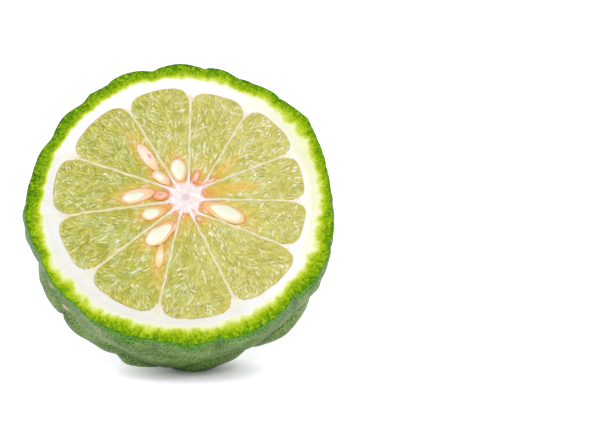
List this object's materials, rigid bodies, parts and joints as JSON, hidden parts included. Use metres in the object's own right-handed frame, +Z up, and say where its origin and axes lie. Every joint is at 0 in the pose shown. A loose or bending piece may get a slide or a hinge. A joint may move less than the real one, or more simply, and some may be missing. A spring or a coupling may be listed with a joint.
{
  "type": "makrut lime half (bergamot orange)",
  "caption": "Half of a knobbly green makrut lime, sold as bergamot, lying tipped back with its wet cut face forward: green rind, white pith, pale green juice segments and seeds.",
  "frame": {"origin": "on the surface that the half lies on, below the middle of its box", "axes": "+X to the right along the cut face, +Y away from the viewer, +Z up; the cut face looks along -Y and up, 38 degrees above level"},
  "size_m": [0.064, 0.058, 0.0606],
  "materials": {
    "rind": "dull green, pitted citrus rind, bright green zest where it is cut",
    "pith": "soft white pith, slightly damp",
    "pulp": "wet translucent yellow-green juice sacs",
    "seed": "damp cream kernels in orange-pink seed coats"
  },
  "bodies": {
    "root": {"rind": "rind", "pith": "pith", "pulp_01": "pulp", "pulp_02": "pulp", "pulp_03": "pulp", "pulp_04": "pulp", "pulp_05": "pulp", "pulp_06": "pulp", "pulp_07": "pulp", "pulp_08": "pulp", "pulp_09": "pulp", "pulp_10": "pulp", "pulp_11": "pulp", "seed_01": "seed", "seed_02": "seed", "seed_03": "seed", "seed_04": "seed", "seed_05": "seed", "seed_06": "seed", "seed_07": "seed", "seed_08": "seed"}
  },
  "joints": []
}
